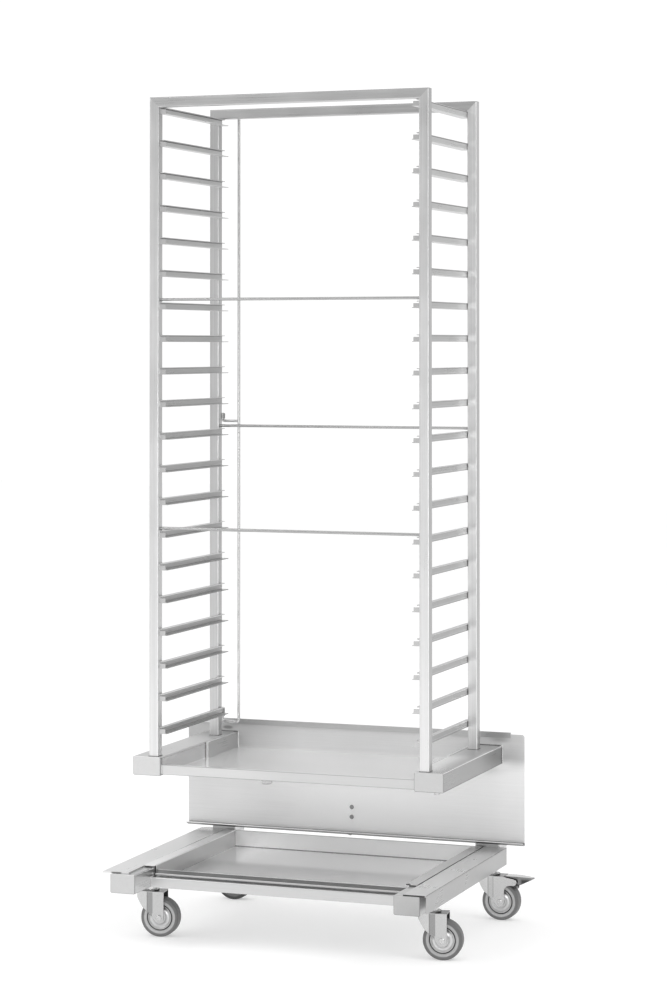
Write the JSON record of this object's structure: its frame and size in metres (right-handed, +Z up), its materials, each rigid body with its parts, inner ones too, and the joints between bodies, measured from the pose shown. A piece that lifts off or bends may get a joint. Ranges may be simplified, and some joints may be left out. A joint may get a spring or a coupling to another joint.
{
  "type": "drive-in trolley",
  "caption": "Tall welded steel trolley on swivel casters with a rack of slide-in container rails over a drip tray, an apron panel and an open base that drives into an oven.",
  "frame": {"origin": "on the floor under the middle of the trolley's bounding box", "axes": "+Z up; the trolley is driven in along -Y, so its apron stands across the back of the rack at +Y; +X is to the right seen from the front"},
  "size_m": [0.757, 0.562, 1.666],
  "materials": {
    "rack_tube": "brushed along the tube",
    "rail": "mill finish sheet, folded",
    "wire": "drawn round bar",
    "floor_tube": "brushed along the tube",
    "tray": "bright sheet, welded in",
    "apron": "fine brushed sheet",
    "base_tube": "brushed along the tube",
    "guide": "brushed plate",
    "pan": "bright deep-folded sheet",
    "caster_metal": "bright pressed steel",
    "brake": "bright pressed steel",
    "fastener": "plain turned steel",
    "hub": "bright cast, turned on its face",
    "tyre": "grey, non-marking"
  },
  "bodies": {
    "frame": {"front_left_post": "rack_tube", "front_right_post": "rack_tube", "rear_left_post": "rack_tube", "rear_right_post": "rack_tube", "front_top_bar": "rack_tube", "rear_top_bar": "rack_tube", "left_rails": "rail", "right_rails": "rail", "front_brace_rods": "wire", "rear_brace_rod": "wire", "hinge_sleeves": "wire", "left_floor_tube": "floor_tube", "right_floor_tube": "floor_tube", "floor_tube_caps": "floor_tube", "locating_stud": "floor_tube", "upper_drip_tray": "tray", "tray_drain_spout": "tray", "tray_side_plates": "tray", "apron_panel": "apron", "panel_top_bar": "apron", "panel_screws": "fastener", "apron_lip_bolt": "fastener", "left_upright": "base_tube", "right_upright": "base_tube", "upright_caps": "base_tube", "left_base_tube": "base_tube", "right_base_tube": "base_tube", "base_tube_caps": "base_tube", "front_crossbar": "base_tube", "rear_crossbar": "base_tube", "left_guide_plate": "guide", "right_guide_angle": "guide", "caster_bosses": "caster_metal", "front_left_kingpin": "fastener", "rear_left_kingpin": "fastener", "front_right_kingpin": "fastener", "rear_right_kingpin": "fastener"},
    "locking_bar": {"locking_bar": "wire"},
    "drip_pan": {"drip_pan": "pan"},
    "front_left_caster": {"front_left_fork": "caster_metal", "front_left_axle": "fastener"},
    "front_left_wheel": {"front_left_hub": "hub", "front_left_tyre": "tyre"},
    "rear_left_pedal": {"rear_left_brake_pedal": "brake"},
    "rear_left_caster": {"rear_left_fork": "caster_metal", "rear_left_axle": "fastener", "rear_left_pedal_pin": "fastener"},
    "rear_left_wheel": {"rear_left_hub": "hub", "rear_left_tyre": "tyre"},
    "front_right_caster": {"front_right_fork": "caster_metal", "front_right_axle": "fastener"},
    "front_right_wheel": {"front_right_hub": "hub", "front_right_tyre": "tyre"},
    "rear_right_pedal": {"rear_right_brake_pedal": "brake"},
    "rear_right_caster": {"rear_right_fork": "caster_metal", "rear_right_axle": "fastener", "rear_right_pedal_pin": "fastener"},
    "rear_right_wheel": {"rear_right_hub": "hub", "rear_right_tyre": "tyre"}
  },
  "joints": [
    {"name": "locking_bar_hinge", "type": "hinge", "parent": "frame", "child": "locking_bar", "pos_m": [-0.2815, 0.182, 1], "axis": [0, 0, 1], "range_deg": [0, 175]},
    {"name": "drip_pan_tilt", "type": "hinge", "parent": "frame", "child": "drip_pan", "pos_m": [-0.0075, 0.225, 0.146], "axis": [-1, 0, 0], "range_deg": [0, 12]},
    {"name": "front_left_swivel", "type": "hinge", "parent": "frame", "child": "front_left_caster", "pos_m": [-0.302, -0.137, 0.092], "axis": [0, 0, 1], "continuous": true},
    {"name": "front_left_wheel_spin", "type": "hinge", "parent": "front_left_caster", "child": "front_left_wheel", "pos_m": [-0.28021, -0.13394, 0.0385], "axis": [-0.1392, 0.9903, 0], "continuous": true},
    {"name": "rear_left_swivel", "type": "hinge", "parent": "frame", "child": "rear_left_caster", "pos_m": [-0.302, 0.249, 0.092], "axis": [0, 0, 1], "continuous": true},
    {"name": "rear_left_wheel_spin", "type": "hinge", "parent": "rear_left_caster", "child": "rear_left_wheel", "pos_m": [-0.28, 0.249, 0.0385], "axis": [0, 1, 0], "continuous": true},
    {"name": "rear_left_brake", "type": "hinge", "parent": "rear_left_caster", "child": "rear_left_pedal", "pos_m": [-0.2493, 0.249, 0.0807], "axis": [0, 1, 0], "range_deg": [0, 12]},
    {"name": "front_right_swivel", "type": "hinge", "parent": "frame", "child": "front_right_caster", "pos_m": [0.287, -0.137, 0.092], "axis": [0, 0, 1], "continuous": true},
    {"name": "front_right_wheel_spin", "type": "hinge", "parent": "front_right_caster", "child": "front_right_wheel", "pos_m": [0.30879, -0.13394, 0.0385], "axis": [-0.1392, 0.9903, 0], "continuous": true},
    {"name": "rear_right_swivel", "type": "hinge", "parent": "frame", "child": "rear_right_caster", "pos_m": [0.287, 0.249, 0.092], "axis": [0, 0, 1], "continuous": true},
    {"name": "rear_right_wheel_spin", "type": "hinge", "parent": "rear_right_caster", "child": "rear_right_wheel", "pos_m": [0.309, 0.249, 0.0385], "axis": [0, 1, 0], "continuous": true},
    {"name": "rear_right_brake", "type": "hinge", "parent": "rear_right_caster", "child": "rear_right_pedal", "pos_m": [0.3397, 0.249, 0.0807], "axis": [0, 1, 0], "range_deg": [0, 12]}
  ]
}
